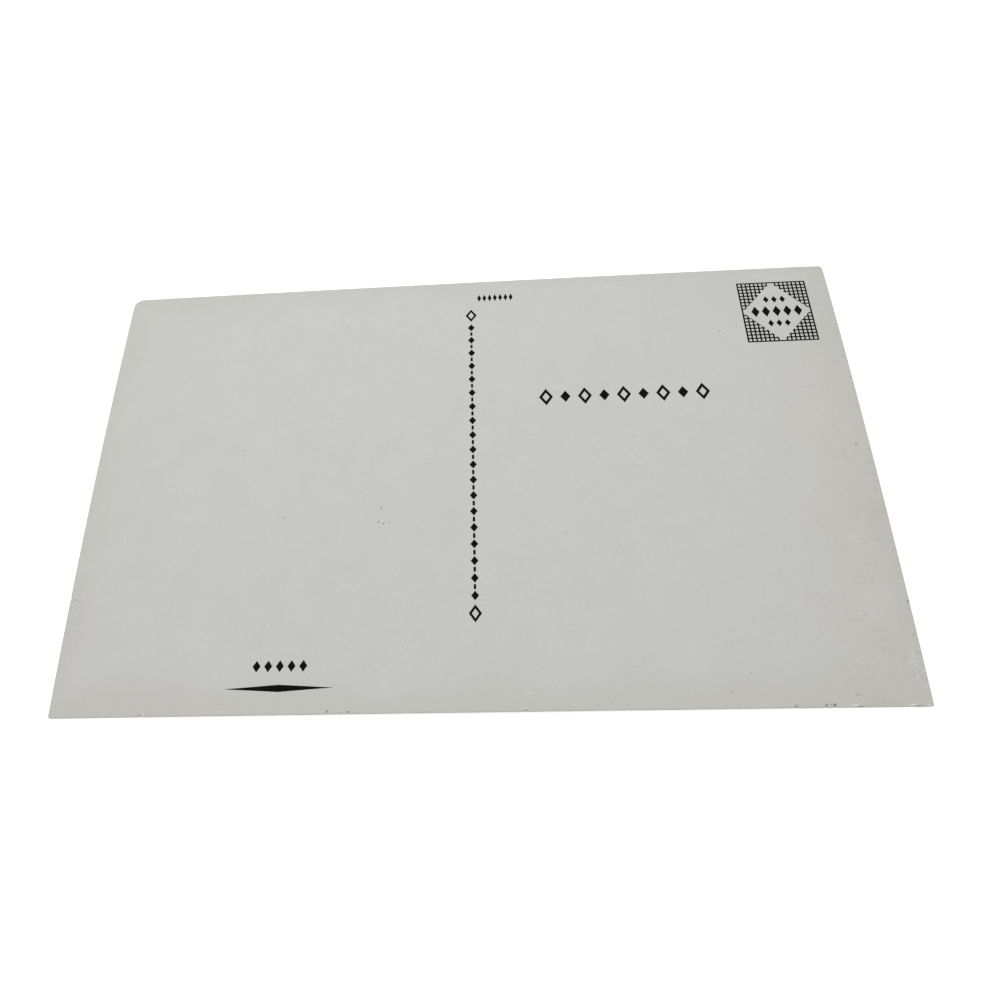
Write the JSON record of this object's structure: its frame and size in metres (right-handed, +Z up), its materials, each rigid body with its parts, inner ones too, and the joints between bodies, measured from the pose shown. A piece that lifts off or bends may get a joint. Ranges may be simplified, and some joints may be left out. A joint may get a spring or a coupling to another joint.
{
  "type": "postcard",
  "caption": "Standard picture postcard lying message side up: a thin bowed board sheet with blunted corners, a ruled lattice stamp box and plain black printed ornaments.",
  "frame": {"origin": "under the card's middle, level with the two long edges that it rests on", "axes": "+X along the card's length to the right of the message side, +Y towards its top edge, +Z up out of the message side"},
  "size_m": [0.1396, 0.0888, 0.0013],
  "materials": {
    "message_board": "uncoated off-white board, matte, lightly soiled",
    "core_board": "fibrous cut edge, greyish cream",
    "picture_board": "white board, seen only at the cut edge",
    "coating_white": "smooth white mineral coat",
    "picture_colours": "full-bleed colour print of a plain landscape",
    "varnish_clear": "clear gloss coat",
    "black_ink": "matte black printing ink"
  },
  "bodies": {
    "root": {"message_ply": "message_board", "core_ply": "core_board", "picture_ply": "picture_board", "clay_coat": "coating_white", "picture_ink": "picture_colours", "gloss_varnish": "varnish_clear", "stamp_box_print": "black_ink", "heading_print": "black_ink", "divider_print": "black_ink", "top_row_print": "black_ink", "caption_print": "black_ink"}
  },
  "joints": []
}
